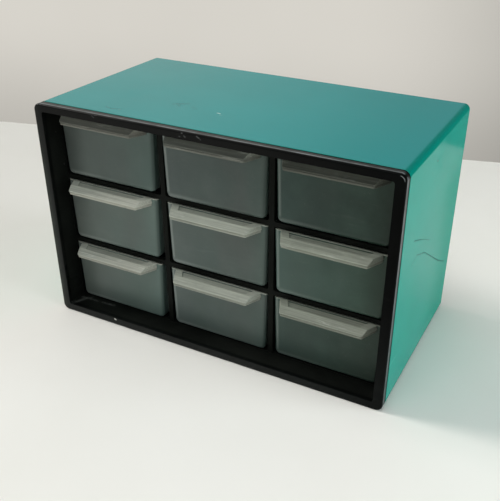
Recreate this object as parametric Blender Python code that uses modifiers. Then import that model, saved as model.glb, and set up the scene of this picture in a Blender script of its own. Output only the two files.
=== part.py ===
"""Nine-drawer parts organizer.

A glossy moulded casing, open at the front, closed by a black front frame with
a sunken grid.  Behind the grid a black rack of two upright partitions and two
shelves, slotted together half-and-half, stands on a floor tray.  Nine identical
drawers, each with a moulded pull lip, slide on the tray and the shelves.

Frame of reference: millimetres are written as numbers times MM.  +X is to the
right seen from the front, the front faces -Y, +Z is up, and the origin is the
middle of the base.
"""

import math

import bmesh
import bpy
from mathutils import Matrix

MM = 0.001

# ------------------------------------------------------------------- overall
WIDTH = 170.0 * MM  # over the casing
DEPTH = 93.0 * MM  # front of the rim to the back of the casing
HEIGHT = 107.0 * MM
FRONT = -DEPTH / 2  # y of the rim's front

GAP = 0.3 * MM  # between pieces that touch
OVERCUT = 1.0 * MM  # how far a cutter runs past the face it opens
TOLERANCE = 0.01 * MM  # for picking vertices, edges and faces by position
SIDES = (("l", -1), ("r", 1))  # name suffix, sign of x
SHARP_ANGLE = math.radians(35)

# -------------------------------------------------------------------- casing
CASING_WALL = 1.9 * MM
EDGE_RADIUS = 2.8 * MM  # long edges of the casing and corners of the frame
EDGE_STEPS = 5
BACK_RADIUS = 2.2 * MM  # edges round the closed back

# --------------------------------------------------------------- front frame
SKIRT = 4.2 * MM  # depth of the frame that shows in front of the casing
RIM_SIDE = 4.2 * MM  # rim's width at left and right
RIM_LOW = 3.7 * MM  # rim's height along the bottom
RIM_TOP = 3.3 * MM
RIM_ROUND = 0.8 * MM  # rounding of the rim's outer front edge
RECESS = 11.0 * MM  # rim's front to the grid's front
RECESS_RADIUS = 1.0 * MM
GRID_THICK = 2.0 * MM
PLUG_WALL_GAP = 0.3 * MM  # frame's plug to the casing's inner wall
PLUG_OVERLAP = 1.0 * MM  # plug's reach into the rim
PLUG_CHAMFER = 0.7 * MM

GRID_FRONT = FRONT + RECESS
GRID_BACK = GRID_FRONT + GRID_THICK

# grid of openings; the outer columns have more play than the middle one
OPENINGS = (  # left and right edge of each column
    (-80.8 * MM, -27.7 * MM),
    (-25.4 * MM, 25.9 * MM),
    (28.3 * MM, 80.8 * MM),
)
ROW_PITCH = 33.5 * MM
FLOOR_LOW = RIM_LOW  # level the lowest drawers slide on
ROW_FLOORS = [FLOOR_LOW + row * ROW_PITCH for row in range(3)]
OPENING_H = 31.4 * MM
OPENING_RADIUS = 1.0 * MM

# ---------------------------------------------------------------------- rack
PARTITION = 1.6 * MM  # thickness
SHELF = 1.4 * MM  # thickness
GUIDE_H = 3.0 * MM  # rails that guide the outer drawers' free sides
GUIDE_T = 1.2 * MM
GUIDE_SETBACK = 0.1 * MM  # rail's inner face outside the opening's edge
SLOT_CLEAR = 0.3 * MM
TRAY_CHAMFER = 0.7 * MM

RACK_FRONT = GRID_BACK + GAP
RACK_BACK = FRONT + 89.5 * MM
RACK_MID = (RACK_FRONT + RACK_BACK) / 2
RACK_Y = (RACK_FRONT, RACK_BACK)
RACK_HALF_WIDTH = WIDTH / 2 - CASING_WALL - GAP
GUIDE_X = OPENINGS[2][1] + GUIDE_SETBACK  # inner face of a guide rail
PARTITION_X = {  # middle of the bar between two columns, by side
    -1: (OPENINGS[0][1] + OPENINGS[1][0]) / 2,
    1: (OPENINGS[1][1] + OPENINGS[2][0]) / 2,
}

# ------------------------------------------------------------------- drawers
DRAWER_W = 50.6 * MM  # over the top edge
DRAWER_TAPER = 0.9 * MM  # each side, narrower at the bottom
DRAWER_H = 30.4 * MM
DRAWER_L = 76.0 * MM
DRAWER_BACK_TAPER = 0.8 * MM
DRAWER_WALL = 1.2 * MM
DRAWER_CORNER = 2.6 * MM  # lower corners, seen from the front
DRAWER_EDGE = 1.4 * MM  # rounding round the front and the back face
DRAWER_SINK = 0.2 * MM  # front face of a fully home drawer behind the grid's front
CAVITY_RISE = 6.0 * MM  # cavity cutter above the drawer's top edge

LIP_REACH = 8.2 * MM  # front of the drawer to the front of the pull lip
LIP_HALF_FRONT = 18.7 * MM
LIP_HALF_BASE = 22.6 * MM
LIP_LOW = 26.9 * MM  # above the drawer's underside
LIP_BROW = 28.5 * MM  # where the upright band meets the sloping band
LIP_SLOPE_RUN = 3.3 * MM  # width of the sloping band, in plan
LIP_FLARE = 0.4 * MM  # the upright band widens upwards
LIP_BEAD = 0.4 * MM  # flat bead between the slope and the trough
LIP_END_RUN = 0.5 * MM  # lean of the lip's ends, over the sloping band's height
LIP_CAP = 3.7 * MM  # solid width at each end of the trough
LIP_WALL = 1.15 * MM
TROUGH_FLOOR = 29.85 * MM

# Lofts through the lip's outline: height, inset of front, inset of ends
LIP_LEVELS = (
    (LIP_LOW, LIP_FLARE, LIP_FLARE),
    (LIP_BROW, 0.0, 0.0),
    (DRAWER_H, LIP_SLOPE_RUN, LIP_END_RUN),
)
TROUGH_LEVELS = (
    (TROUGH_FLOOR, LIP_SLOPE_RUN + LIP_BEAD, LIP_CAP),
    (DRAWER_H + 3.0 * MM, LIP_SLOPE_RUN + LIP_BEAD, LIP_CAP),
)
# finger grip: the underside roughly follows the lip's outer slope
GRIP_LEVELS = (
    (LIP_LOW - 3.0 * MM, LIP_FLARE + LIP_WALL, LIP_FLARE + LIP_WALL),
    (LIP_LOW, LIP_FLARE + LIP_WALL, LIP_FLARE + LIP_WALL),
    (LIP_BROW - 0.7 * MM, LIP_WALL, LIP_WALL),
    (TROUGH_FLOOR - LIP_WALL, LIP_SLOPE_RUN - 0.6 * MM, LIP_WALL + 0.3 * MM),
)

LUG_START = 62.0 * MM  # stop lugs, from the drawer's front
LUG_LENGTH = 4.0 * MM
LUG_RISE = 1.1 * MM  # above the drawer's top edge
LUG_ROOT = 3.0 * MM  # below the drawer's top edge
LUG_SETBACK = 0.1 * MM  # lug's outer face inside the drawer's outer face
LUG_INWARD = 0.6 * MM  # lug's inner face past the wall's inner face
LUG_SLOPE_RUN = 2.4 * MM

DRAWER_X = (-55.2 * MM, 0.2 * MM, 54.0 * MM)  # middle of each column's drawers
DRAWERS = (  # rows from the bottom up: name, how far it stands out from fully home
    (
        ("drawer_bottom_left", 0.3 * MM),
        ("drawer_bottom_middle", 0.4 * MM),
        ("drawer_bottom_right", 0.1 * MM),
    ),
    (
        ("drawer_middle_left", 0.3 * MM),
        ("drawer_centre", 0.2 * MM),
        ("drawer_middle_right", 0.6 * MM),
    ),
    (
        ("drawer_top_left", 0.3 * MM),
        ("drawer_top_middle", 1.2 * MM),
        ("drawer_top_right", 0.3 * MM),
    ),
)

# --------------------------------------------------------------------- scene
for old in list(bpy.data.objects):
    bpy.data.objects.remove(old, do_unlink=True)

parts = bpy.data.collections.new("parts_organizer")
cutters = bpy.data.collections.new("cutters")
for collection in (parts, cutters):
    bpy.context.scene.collection.children.link(collection)


# ----------------------------------------------------------------- materials
def plastic(name, srgb, roughness, alpha=1.0):
    """A plain Principled material; its colour is given as sRGB."""
    material = bpy.data.materials.new(name)
    material.use_nodes = True
    shader = material.node_tree.nodes["Principled BSDF"]
    linear = [((c + 0.055) / 1.055) ** 2.4 if c > 0.04045 else c / 12.92 for c in srgb]
    shader.inputs["Base Color"].default_value = (*linear, 1.0)
    shader.inputs["Roughness"].default_value = roughness
    shader.inputs["Metallic"].default_value = 0.0
    shader.inputs["Alpha"].default_value = alpha
    material.diffuse_color = (*linear, alpha)
    return material


teal = plastic("teal_gloss_plastic", srgb=(0.20, 0.56, 0.53), roughness=0.18)
black = plastic("black_satin_plastic", srgb=(0.10, 0.10, 0.10), roughness=0.42)
black_rack = plastic("black_rack_plastic", srgb=(0.07, 0.07, 0.07), roughness=0.5)
frosted = plastic(
    "frosted_drawer_plastic", srgb=(0.62, 0.64, 0.60), roughness=0.4, alpha=0.55
)


# ------------------------------------------------------------------- helpers
def box(x_range, y_range, z_range):
    """A bmesh box, each range given as (low, high)."""
    ranges = (x_range, y_range, z_range)
    size = [high - low for low, high in ranges]
    centre = [(low + high) / 2 for low, high in ranges]
    solid = bmesh.new()
    bmesh.ops.create_cube(
        solid, size=1.0, matrix=Matrix.Translation(centre) @ Matrix.Diagonal((*size, 1.0))
    )
    return solid


def along_y(start, end):
    """True for an edge parallel to Y."""
    return abs(start.x - end.x) < TOLERANCE and abs(start.z - end.z) < TOLERANCE


def on_plane(axis, level):
    """A test for edges whose two ends lie at a level on an axis."""
    return lambda *ends: all(abs(end[axis] - level) < TOLERANCE for end in ends)


def bevel(solid, edges, radius, segments):
    bmesh.ops.bevel(
        solid,
        geom=edges,
        offset=radius,
        offset_type="OFFSET",
        segments=segments,
        profile=0.5,
        affect="EDGES",
        clamp_overlap=True,
    )


def round_edges(solid, test, radius, segments):
    """Bevel the edges whose two end points pass the test."""
    edges = [edge for edge in solid.edges if test(edge.verts[0].co, edge.verts[1].co)]
    bevel(solid, edges, radius, segments)


def add_object(name, mesh, collection):
    obj = bpy.data.objects.new(name, mesh)
    collection.objects.link(obj)
    return obj


def to_mesh(solid, name):
    bmesh.ops.recalc_face_normals(solid, faces=solid.faces[:])
    mesh = bpy.data.meshes.new(name)
    solid.to_mesh(mesh)
    solid.free()
    mesh.shade_smooth()
    mesh.set_sharp_from_angle(angle=SHARP_ANGLE)
    return mesh


def add_part(name, solid, material):
    mesh = to_mesh(solid, name)
    mesh.materials.append(material)
    return add_object(name, mesh, parts)


def add_helper(name, solid):
    """An object that only shapes others and isn't rendered."""
    obj = add_object(name, to_mesh(solid, name), cutters)
    obj.hide_render = True
    obj.display_type = "WIRE"
    return obj


def combine(obj, name, solid, operation):
    modifier = obj.modifiers.new(name, "BOOLEAN")
    modifier.operation = operation
    modifier.solver = "EXACT"
    modifier.object = add_helper(name, solid)


def cut(obj, name, solid):
    combine(obj, name, solid, "DIFFERENCE")


def join(obj, name, solid):
    combine(obj, name, solid, "UNION")


# ---------------------------------------------------------- casing and frame
def build_casing():
    """Four walls and a closed back, open towards the frame."""
    front, back = FRONT + SKIRT + GAP, DEPTH / 2
    solid = box((-WIDTH / 2, WIDTH / 2), (front, back), (0, HEIGHT))
    open_faces = [
        face for face in solid.faces if face.calc_center_median().y < front + TOLERANCE
    ]
    bmesh.ops.delete(solid, geom=open_faces, context="FACES")
    round_edges(solid, along_y, EDGE_RADIUS, EDGE_STEPS)
    round_edges(solid, on_plane(1, back), BACK_RADIUS, 3)
    casing = add_part("outer_casing", solid, teal)
    wall = casing.modifiers.new("wall", "SOLIDIFY")
    wall.thickness = CASING_WALL
    wall.offset = -1.0  # inwards
    wall.use_even_offset = True
    wall.use_rim = True


def build_frame():
    """Rim with a skirt in front of the casing, and a plug that enters the casing."""
    rim = box((-WIDTH / 2, WIDTH / 2), (FRONT, FRONT + SKIRT), (0, HEIGHT))
    round_edges(rim, along_y, EDGE_RADIUS, EDGE_STEPS)
    round_edges(rim, on_plane(1, FRONT), RIM_ROUND, 2)
    frame = add_part("front_frame", rim, black)

    inset = CASING_WALL + PLUG_WALL_GAP
    plug = box(
        (-WIDTH / 2 + inset, WIDTH / 2 - inset),
        (FRONT + SKIRT - PLUG_OVERLAP, GRID_BACK),
        (inset, HEIGHT - inset),
    )
    round_edges(plug, along_y, PLUG_CHAMFER, 1)
    join(frame, "frame_plug", plug)

    recess = box(
        (-WIDTH / 2 + RIM_SIDE, WIDTH / 2 - RIM_SIDE),
        (FRONT - OVERCUT, GRID_FRONT),
        (RIM_LOW, HEIGHT - RIM_TOP),
    )
    round_edges(recess, along_y, RECESS_RADIUS, 2)
    cut(frame, "frame_recess", recess)

    for row, floor in enumerate(ROW_FLOORS):
        for column, x_range in enumerate(OPENINGS):
            opening = box(
                x_range, (GRID_FRONT - OVERCUT, GRID_BACK + OVERCUT), (floor, floor + OPENING_H)
            )
            round_edges(opening, along_y, OPENING_RADIUS, 2)
            cut(frame, f"opening_{row}_{column}", opening)


# ---------------------------------------------------------------------- rack
def add_rails(obj, floor, prefix):
    """Two low rails that guide the free sides of the outer drawers."""
    for suffix, side in SIDES:
        x_range = sorted((side * GUIDE_X, side * (GUIDE_X + GUIDE_T)))
        rail = box(x_range, RACK_Y, (floor - SHELF / 2, floor + GUIDE_H))
        join(obj, f"{prefix}_rail_{suffix}", rail)


def build_tray():
    """Floor tray just above the casing's floor, its lower long edges chamfered."""
    underside = CASING_WALL + GAP
    solid = box((-RACK_HALF_WIDTH, RACK_HALF_WIDTH), RACK_Y, (underside, FLOOR_LOW))
    at_underside = on_plane(2, underside)
    round_edges(
        solid, lambda *ends: along_y(*ends) and at_underside(*ends), TRAY_CHAMFER, 1
    )
    tray = add_part("floor_tray", solid, black_rack)
    add_rails(tray, FLOOR_LOW, "tray")


def build_shelf(name, floor):
    """A shelf, slotted from the back for the partitions."""
    solid = box((-RACK_HALF_WIDTH, RACK_HALF_WIDTH), RACK_Y, (floor - SHELF, floor))
    shelf = add_part(name, solid, black_rack)
    add_rails(shelf, floor, name)
    half_slot = PARTITION / 2 + SLOT_CLEAR
    for suffix, side in SIDES:
        slot = box(
            (PARTITION_X[side] - half_slot, PARTITION_X[side] + half_slot),
            (RACK_MID, RACK_BACK + OVERCUT),
            (floor - 2 * SHELF, floor + SHELF),
        )
        cut(shelf, f"{name}_slot_{suffix}", slot)


def build_partition(name, middle):
    """A partition, slotted from the front for the shelves."""
    solid = box(
        (middle - PARTITION / 2, middle + PARTITION / 2),
        RACK_Y,
        (FLOOR_LOW + GAP, HEIGHT - CASING_WALL - GAP),
    )
    partition = add_part(name, solid, black_rack)
    for row in (1, 2):
        floor = ROW_FLOORS[row]
        slot = box(
            (middle - PARTITION, middle + PARTITION),
            (RACK_FRONT - OVERCUT, RACK_MID + SLOT_CLEAR),
            (floor - SHELF - SLOT_CLEAR, floor + SLOT_CLEAR),
        )
        cut(partition, f"{name}_slot_{row}", slot)


# ------------------------------------------------------------------- drawers
def tub(half_width, y_range, z_range, corner, edge_radius):
    """A box narrowing downwards.

    Its two lower long edges are rounded first, then the outlines of its front
    and back faces, the top edges left sharp.
    """
    z_low, z_high = z_range
    solid = box((-half_width, half_width), y_range, z_range)
    for vert in solid.verts:
        if vert.co.z < z_low + TOLERANCE:
            vert.co.x -= math.copysign(DRAWER_TAPER, vert.co.x)
            # a tub that starts behind y = 0 has its lower front edge moved too
            if vert.co.y > 0:
                vert.co.y -= DRAWER_BACK_TAPER
    at_bottom = on_plane(2, z_low)
    round_edges(solid, lambda *ends: along_y(*ends) and at_bottom(*ends), corner, 3)
    solid.normal_update()
    for sign in (-1, 1):
        end_face = max(solid.faces, key=lambda face: face.normal.y * sign)
        edges = [
            edge
            for edge in end_face.edges
            if min(vert.co.z for vert in edge.verts) < z_high - TOLERANCE
        ]
        bevel(solid, edges, edge_radius, 2)
        solid.normal_update()
    return solid


def lip_outline(front_inset, side_inset, y_end):
    """The pull lip in plan: slanted ends and a straight front, each inset."""
    slope = (LIP_HALF_BASE - LIP_HALF_FRONT) / LIP_REACH
    shift = side_inset * math.sqrt(1 + slope * slope)
    half_near = LIP_HALF_FRONT + slope * front_inset - shift
    half_base = LIP_HALF_BASE - shift
    y_near = -LIP_REACH + front_inset
    outline = [(-half_near, y_near), (half_near, y_near), (half_base, 0.0)]
    if y_end > 0:
        outline += [(half_base, y_end), (-half_base, y_end)]
    outline += [(-half_base, 0.0)]
    return outline


def lip_loft(levels, y_end=0.0):
    """Loft through the lip's outline at each level, back to y_end."""
    solid = bmesh.new()
    rings = [
        [solid.verts.new((x, y, z)) for x, y in lip_outline(front_inset, side_inset, y_end)]
        for z, front_inset, side_inset in levels
    ]
    solid.faces.new(rings[0])
    solid.faces.new(rings[-1])
    for low, high in zip(rings, rings[1:]):
        for i in range(len(low)):
            j = (i + 1) % len(low)
            solid.faces.new((low[i], low[j], high[j], high[i]))
    return solid


def lug(side):
    """A stop lug on one side wall."""
    outer = side * (DRAWER_W / 2 - LUG_SETBACK)
    inner = side * (DRAWER_W / 2 - DRAWER_WALL - LUG_INWARD)
    solid = box(
        sorted((outer, inner)),
        (LUG_START, LUG_START + LUG_LENGTH),
        (DRAWER_H - LUG_ROOT, DRAWER_H + LUG_RISE),
    )
    # the back of each lug slopes, so a drawer can be pressed home past the bar
    for vert in solid.verts:
        if vert.co.z > DRAWER_H and vert.co.y > LUG_START + LUG_LENGTH / 2:
            vert.co.y -= LUG_SLOPE_RUN
    return solid


def build_drawer_mesh():
    """The mesh shared by all drawers: y = 0 at the front face, z = 0 underneath."""
    body = tub(DRAWER_W / 2, (0.0, DRAWER_L), (0.0, DRAWER_H), DRAWER_CORNER, DRAWER_EDGE)
    pattern = add_helper("drawer_pattern", body)
    join(pattern, "lip_solid", lip_loft(LIP_LEVELS, y_end=DRAWER_CORNER))
    for suffix, side in SIDES:
        join(pattern, f"lug_{suffix}", lug(side))
    cavity = tub(
        DRAWER_W / 2 - DRAWER_WALL,
        (DRAWER_WALL, DRAWER_L - DRAWER_WALL),
        (DRAWER_WALL, DRAWER_H + CAVITY_RISE),
        DRAWER_CORNER - DRAWER_WALL,
        DRAWER_EDGE / 3,
    )
    cut(pattern, "drawer_cavity", cavity)
    cut(pattern, "lip_trough", lip_loft(TROUGH_LEVELS))
    cut(pattern, "lip_grip", lip_loft(GRIP_LEVELS))

    bpy.context.view_layer.update()
    depsgraph = bpy.context.evaluated_depsgraph_get()
    mesh = bpy.data.meshes.new_from_object(pattern.evaluated_get(depsgraph))
    mesh.name = "drawer"
    mesh.materials.clear()
    mesh.materials.append(frosted)
    return mesh


def build_drawers():
    mesh = build_drawer_mesh()
    for floor, row in zip(ROW_FLOORS, DRAWERS):
        for middle, (name, out) in zip(DRAWER_X, row):
            drawer = add_object(name, mesh, parts)
            drawer.location = (middle, GRID_FRONT + DRAWER_SINK - out, floor + GAP)


build_casing()
build_frame()
build_tray()
build_shelf("lower_shelf", ROW_FLOORS[1])
build_shelf("upper_shelf", ROW_FLOORS[2])
build_partition("left_partition", PARTITION_X[-1])
build_partition("right_partition", PARTITION_X[1])
build_drawers()
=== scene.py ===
"""A teal drawer cabinet with a black front frame and nine frosted drawers.

It stands on z = 0, centred on x = 0. Its front faces -y and +x is its right side.
Lengths are in metres; tables in millimetres say so.
"""
import math
from functools import cached_property

import bmesh
import bpy
from mathutils import Matrix, Vector


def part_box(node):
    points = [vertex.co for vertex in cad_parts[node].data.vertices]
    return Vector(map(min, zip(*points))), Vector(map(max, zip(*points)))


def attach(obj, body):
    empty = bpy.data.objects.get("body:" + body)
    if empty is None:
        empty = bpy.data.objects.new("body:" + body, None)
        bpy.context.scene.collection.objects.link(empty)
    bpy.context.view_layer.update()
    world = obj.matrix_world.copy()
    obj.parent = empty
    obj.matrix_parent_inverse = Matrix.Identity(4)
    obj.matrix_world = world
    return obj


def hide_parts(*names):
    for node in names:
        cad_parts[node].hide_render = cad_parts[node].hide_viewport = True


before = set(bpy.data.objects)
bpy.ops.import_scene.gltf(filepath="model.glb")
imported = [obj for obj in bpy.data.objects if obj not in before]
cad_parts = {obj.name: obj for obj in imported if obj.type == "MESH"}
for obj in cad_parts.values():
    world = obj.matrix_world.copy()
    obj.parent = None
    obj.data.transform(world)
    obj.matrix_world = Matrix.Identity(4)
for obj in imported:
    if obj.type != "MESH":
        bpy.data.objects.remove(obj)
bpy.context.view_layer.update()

MM = 0.001
scene = bpy.context.scene

# ---------------------------------------------------------- sizes of the cabinet
casing_lo, casing_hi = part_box("outer_casing")
front_lo, front_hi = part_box("front_frame")
HALF_W = casing_hi.x
HEIGHT = casing_hi.z
FRONT = front_lo.y
CASING_FRONT = casing_lo.y
BACK = casing_hi.y
CASING_WALL = 1.9 * MM
CORNER = 2.8 * MM  # radius of the four long edges, seen from the front
BACK_RADIUS = 2.2 * MM

SKIRT = 4.2 * MM  # depth of the frame's full-size part
PLUG_GAP = 0.3 * MM  # between the casing wall and the part of the frame inside it
RIM_SIDE, RIM_LOW, RIM_TOP = 4.2 * MM, 3.7 * MM, 3.3 * MM
GRID_FRONT = FRONT + 11.0 * MM
GRID_BACK = front_hi.y
ROW_PITCH, OPEN_H = 33.5 * MM, 31.4 * MM
COLUMNS = ((-80.8 * MM, -27.7 * MM), (-25.4 * MM, 25.9 * MM), (28.3 * MM, 80.8 * MM))
OVERLAP = 1.0 * MM  # how far cutters and joined parts run past a face

# ------------------------------------------------------------------ mesh help


def block(lo, hi):
    shape = bmesh.new()
    size = [b - a for a, b in zip(lo, hi)]
    centre = [(a + b) / 2 for a, b in zip(lo, hi)]
    bmesh.ops.create_cube(
        shape, size=1.0, matrix=Matrix.Translation(centre) @ Matrix.Diagonal((*size, 1.0))
    )
    return shape


def bevel_edges(shape, edges, radius, segments):
    bmesh.ops.bevel(
        shape, geom=edges, offset=radius, offset_type="OFFSET", segments=segments,
        profile=0.5, affect="EDGES", clamp_overlap=True,
    )


def bevel(shape, test, radius, segments):
    """Rounds the edges whose two end points pass the test."""
    edges = [e for e in shape.edges if test(e.verts[0].co, e.verts[1].co)]
    bevel_edges(shape, edges, radius, segments)


def along_y(start, end):
    return abs(start.x - end.x) < 1e-6 and abs(start.z - end.z) < 1e-6


def rounded_block(lo, hi, radius, segments):
    """A block with its four front-to-back edges rounded."""
    shape = block(lo, hi)
    bevel(shape, along_y, radius, segments)
    return shape


def to_object(shape, name):
    bmesh.ops.recalc_face_normals(shape, faces=shape.faces[:])
    mesh = bpy.data.meshes.new(name)
    shape.to_mesh(mesh)
    shape.free()
    obj = bpy.data.objects.new(name, mesh)
    scene.collection.objects.link(obj)
    return obj


def modify(obj, name, kind, **settings):
    modifier = obj.modifiers.new(name, kind)
    for key, value in settings.items():
        setattr(modifier, key, value)


tools = []  # boolean tools, kept until the object they shape is baked


def cut(obj, shape, operation="DIFFERENCE"):
    tool = to_object(shape, "tool_%d" % len(tools))
    tools.append(tool)
    modify(obj, "cut", "BOOLEAN", operation=operation, solver="EXACT", object=tool)


def soften(obj, width, segments, angle):
    modify(
        obj, "soften", "BEVEL", width=width, segments=segments, limit_method="ANGLE",
        angle_limit=math.radians(angle), use_clamp_overlap=True, harden_normals=True,
        miter_outer="MITER_ARC",
    )


def bake(obj):
    """The evaluated mesh becomes the object's own."""
    bpy.context.view_layer.update()
    graph = bpy.context.evaluated_depsgraph_get()
    mesh = bpy.data.meshes.new_from_object(obj.evaluated_get(graph))
    mesh.name = obj.name
    obj.modifiers.clear()
    obj.data = mesh
    shape = bmesh.new()
    shape.from_mesh(mesh)
    bmesh.ops.remove_doubles(shape, verts=shape.verts[:], dist=2e-6)
    bmesh.ops.dissolve_degenerate(shape, edges=shape.edges[:], dist=1e-6)
    shape.to_mesh(mesh)
    shape.free()
    mesh.shade_smooth()
    mesh.set_sharp_from_angle(angle=math.radians(40))
    while tools:
        bpy.data.objects.remove(tools.pop(), do_unlink=True)
    return obj


def settle(obj):
    """Puts a mesh's points and faces in a fixed order, by where they are."""
    shape = bmesh.new()
    shape.from_mesh(obj.data)
    bmesh.ops.dissolve_limit(
        shape, angle_limit=math.radians(0.05), verts=shape.verts[:], edges=shape.edges[:],
        use_dissolve_boundaries=False,
    )
    where = {v: tuple(round(c * 1e6) for c in v.co) for v in shape.verts}
    points = sorted(shape.verts, key=lambda v: where[v])
    number = {v: i for i, v in enumerate(points)}
    loops = []
    for face in shape.faces:
        ring = [number[v] for v in face.verts]
        first = ring.index(min(ring))
        loops.append(tuple(ring[first:] + ring[:first]))
    coords = [tuple(round(c, 7) for c in v.co) for v in points]
    shape.free()
    mesh = bpy.data.meshes.new(obj.name)
    mesh.from_pydata(coords, [], sorted(loops))
    mesh.update()
    obj.data = mesh


# ------------------------------------------------------------- material help


def linear(*rgb):
    """An sRGB colour, 0 to 255, as linear light."""
    parts = [c / 255.0 for c in rgb]
    return tuple(((c + 0.055) / 1.055) ** 2.4 if c > 0.04045 else c / 12.92 for c in parts)


def tone(rgb, gain):
    return tuple(min(1.0, c * gain) for c in linear(*rgb))


class Wire:
    """A node's output; arithmetic on it adds Math nodes."""

    def __init__(self, net, socket):
        self.net = net
        self.socket = socket

    def __mul__(self, other):
        return self.net.math("MULTIPLY", self, other)

    def __truediv__(self, other):
        return self.net.math("DIVIDE", self, other)

    def __add__(self, other):
        return self.net.math("ADD", self, other)

    def __sub__(self, other):
        return self.net.math("SUBTRACT", self, other)

    def __rsub__(self, other):
        return self.net.math("SUBTRACT", other, self)

    def __abs__(self):
        return self.net.math("ABSOLUTE", self)

    def root(self):
        return self.net.math("SQRT", self)

    def most(self, other):
        return self.net.math("MAXIMUM", self, other)

    def least(self, other):
        return self.net.math("MINIMUM", self, other)

    def add_clamped(self, other):
        return self.net.math("ADD", self, other, clamp=True)

    def ramp(self, over, to=(0.0, 1.0), kind="LINEAR"):
        """Runs between the two `to` values as the input crosses the `over` range."""
        inputs = {
            "Value": self, "From Min": over[0], "From Max": over[1],
            "To Min": to[0], "To Max": to[1],
        }
        return self.net.node("ShaderNodeMapRange", "Result", inputs, interpolation_type=kind)

    def rise(self, over, to=(0.0, 1.0)):
        return self.ramp(over, to, "SMOOTHSTEP")

    def fall(self, over, to=(1.0, 0.0)):
        return self.ramp(over, to, "SMOOTHSTEP")


class Net:
    """Builds a node material in object coordinates."""

    def __init__(self, name):
        self.material = bpy.data.materials.new(name)
        self.material.use_nodes = True
        self.tree = self.material.node_tree
        self.tree.nodes.clear()
        self.end = self.tree.nodes.new("ShaderNodeOutputMaterial")
        self.spot = self.node("ShaderNodeTexCoord", "Object")

    @cached_property
    def axes(self):
        return self.xyz(self.spot)

    def put(self, socket, value):
        if isinstance(value, Wire):
            self.tree.links.new(value.socket, socket)
        else:
            socket.default_value = value

    def node(self, kind, output, inputs=None, **settings):
        node = self.tree.nodes.new(kind)
        for key, value in settings.items():
            setattr(node, key, value)
        for key, value in (inputs or {}).items():
            self.put(node.inputs[key], value)
        return Wire(self, node.outputs[output])

    def math(self, kind, first, second=0.0, clamp=False):
        inputs = {0: first, 1: second, 2: 0.0}
        return self.node("ShaderNodeMath", 0, inputs, operation=kind, use_clamp=clamp)

    def vector(self, kind, first, second, output=0):
        inputs = {0: first, 1: second}
        return self.node("ShaderNodeVectorMath", output, inputs, operation=kind)

    def xyz(self, vector):
        parts = self.node("ShaderNodeSeparateXYZ", 0, {0: vector}).socket.node
        return [Wire(self, socket) for socket in parts.outputs]

    def noise(self, scale, detail=3.0, rough=0.5, warp=0.0, stretch=None):
        spot = self.vector("MULTIPLY", self.spot, stretch) if stretch else self.spot
        inputs = {
            "Vector": spot, "Scale": scale, "Detail": detail,
            "Roughness": rough, "Distortion": warp,
        }
        return self.node("ShaderNodeTexNoise", "Fac", inputs)

    def specks(self, scale, size, channel, rarity):
        """Sparse round specks: only cells with a high random channel show one."""
        inputs = {"Vector": self.spot, "Scale": scale}
        distance = self.node("ShaderNodeTexVoronoi", "Distance", inputs)
        chance = self.xyz(Wire(self, distance.socket.node.outputs["Color"]))[channel]
        return distance.fall(over=size) * chance.rise(over=rarity)

    def mix(self, mask, base, coat, blend="MIX"):
        """The base where the mask is 0, the coat where it is 1."""
        base, coat = (
            (*color, 1.0) if isinstance(color, tuple) else color for color in (base, coat)
        )
        inputs = {0: mask, 6: base, 7: coat}
        return self.node("ShaderNodeMix", 2, inputs, data_type="RGBA", blend_type=blend)

    def stroke(self, start, end, width, fade):
        """1 along a segment, falling to 0 away from it; half width and fade in mm."""
        start = Vector(start)
        run = Vector(end) - start
        offset = self.vector("SUBTRACT", self.spot, tuple(start))
        share = self.vector("DOT_PRODUCT", offset, tuple(run / run.length_squared), "Value")
        share = self.math("MULTIPLY", share, 1.0, clamp=True)
        near = self.node(
            "ShaderNodeVectorMath", 0, {0: tuple(run), "Scale": share}, operation="SCALE"
        )
        gap = self.vector("DISTANCE", offset, near, "Value")
        return gap.fall(over=(width * MM, width * MM + fade * MM))

    def marks(self, rows, place, under=None):
        """The strongest of several strokes; `place` turns a row's mm into a point."""
        for start, end, width, fade, strength in rows:
            mark = self.stroke(place(*start), place(*end), width, fade) * strength
            under = under.most(mark) if under else mark
        return under

    def bump(self, height, strength, distance, base=None):
        inputs = {"Strength": strength, "Distance": distance, "Height": height}
        if base:
            inputs["Normal"] = base
        return self.node("ShaderNodeBump", "Normal", inputs)

    def surface(self, inputs):
        return self.node("ShaderNodeBsdfPrincipled", 0, inputs)

    def done(self, shader):
        self.put(self.end.inputs["Surface"], shader)
        return self.material


def edge_gaps(x, z):
    """Distances in from the nearer side, and from the nearer of top and bottom."""
    return HALF_W - abs(x), z.least(HEIGHT - z)


def dress(obj, material):
    obj.data.materials.clear()
    obj.data.materials.append(material)
    return obj


def install(obj, rides, piece):
    """Weights the normals and puts the object in place of a CAD piece."""
    modify(
        obj, "normals", "WEIGHTED_NORMAL", mode="FACE_AREA", weight=60, keep_sharp=True
    )
    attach(obj, rides)
    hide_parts(piece)


# ============================================================ TEAL CASING ====
def build_casing():
    """A thin-walled box, open at the front."""
    shape = block((-HALF_W, CASING_FRONT, 0.0), (HALF_W, BACK, HEIGHT))
    opening = [f for f in shape.faces if f.calc_center_median().y < CASING_FRONT + 1e-5]
    bmesh.ops.delete(shape, geom=opening, context="FACES")
    bevel(shape, along_y, CORNER, segments=10)
    bevel(shape, lambda start, end: min(start.y, end.y) > BACK - 1e-5, BACK_RADIUS, segments=6)
    obj = to_object(shape, "casing_shell")
    modify(
        obj, "wall", "SOLIDIFY", thickness=CASING_WALL, offset=-1.0, use_even_offset=True,
        use_rim=True,
    )
    soften(obj, width=0.35 * MM, segments=3, angle=50)
    return bake(obj)


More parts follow.
